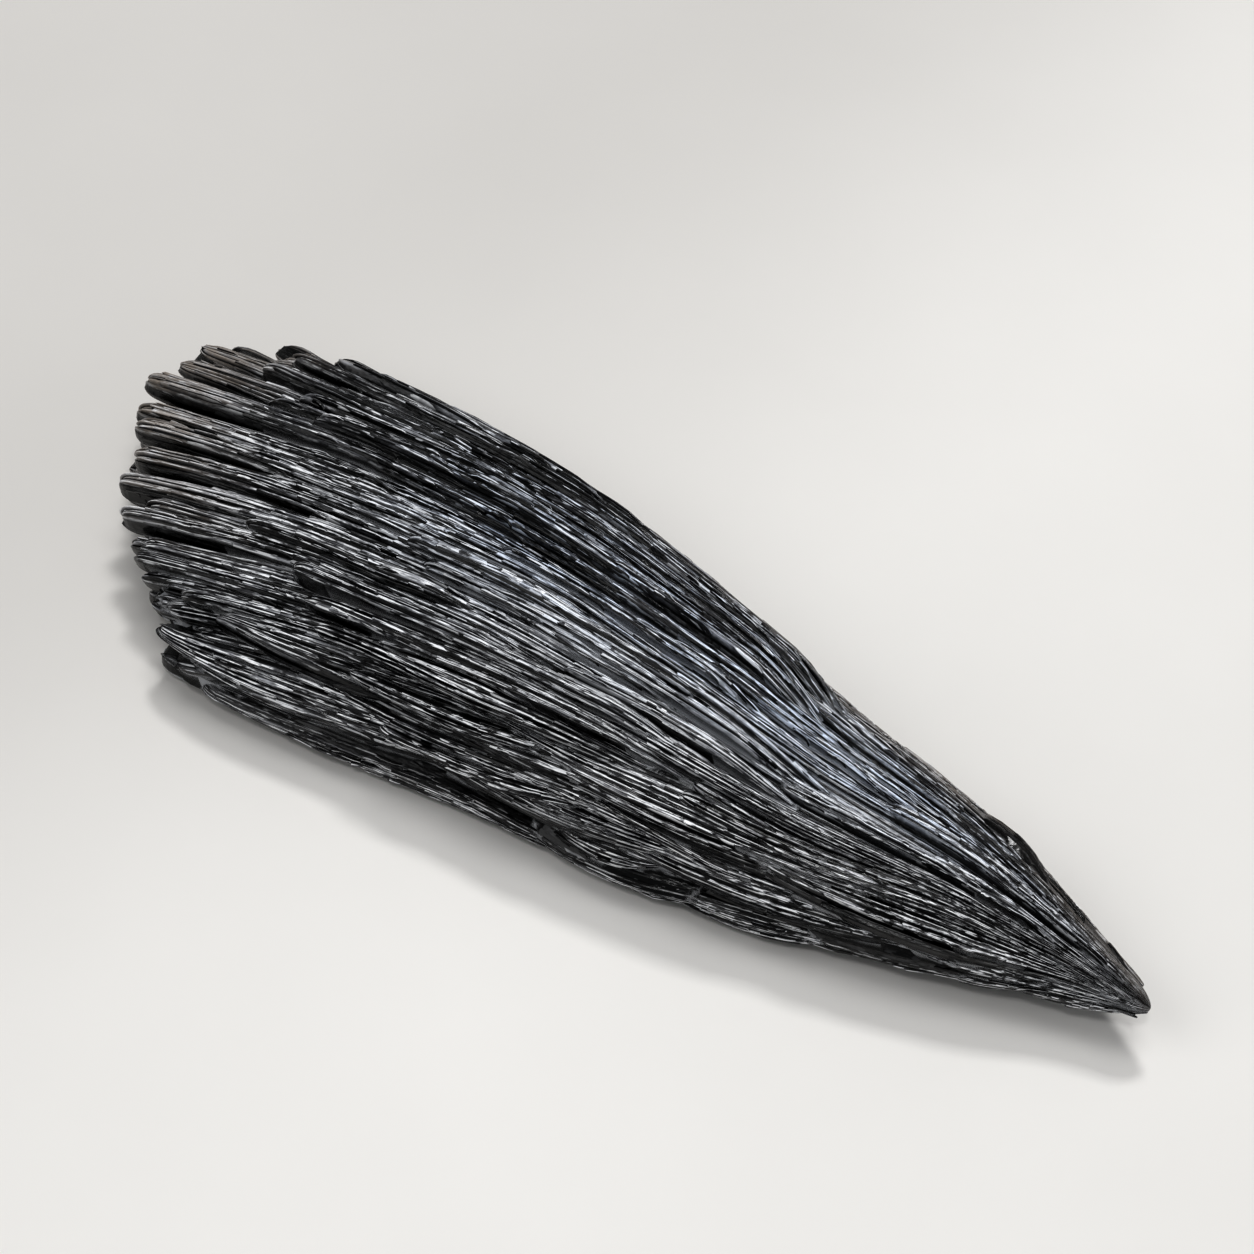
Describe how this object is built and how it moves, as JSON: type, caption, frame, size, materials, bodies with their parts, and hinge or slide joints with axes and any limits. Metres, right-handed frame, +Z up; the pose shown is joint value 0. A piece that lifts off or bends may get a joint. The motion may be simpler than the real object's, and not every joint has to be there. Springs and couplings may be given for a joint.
{
  "type": "black kyanite fan",
  "caption": "Natural mineral specimen: a solid spray of intergrown black bladed crystals that widens from a blunt tip into a scalloped fan, lying on its belly.",
  "frame": {"origin": "centre of the footprint box, on the plane the specimen lies on", "axes": "+X along the length towards the narrow tip, +Y across towards the gently sloping back flank, +Z up"},
  "size_m": [0.1014, 0.0374, 0.0138],
  "materials": {
    "kyanite": "fibrous black crystal with a silvery sheen along the blades"
  },
  "bodies": {
    "root": {"kyanite_fan": "kyanite"}
  },
  "joints": []
}
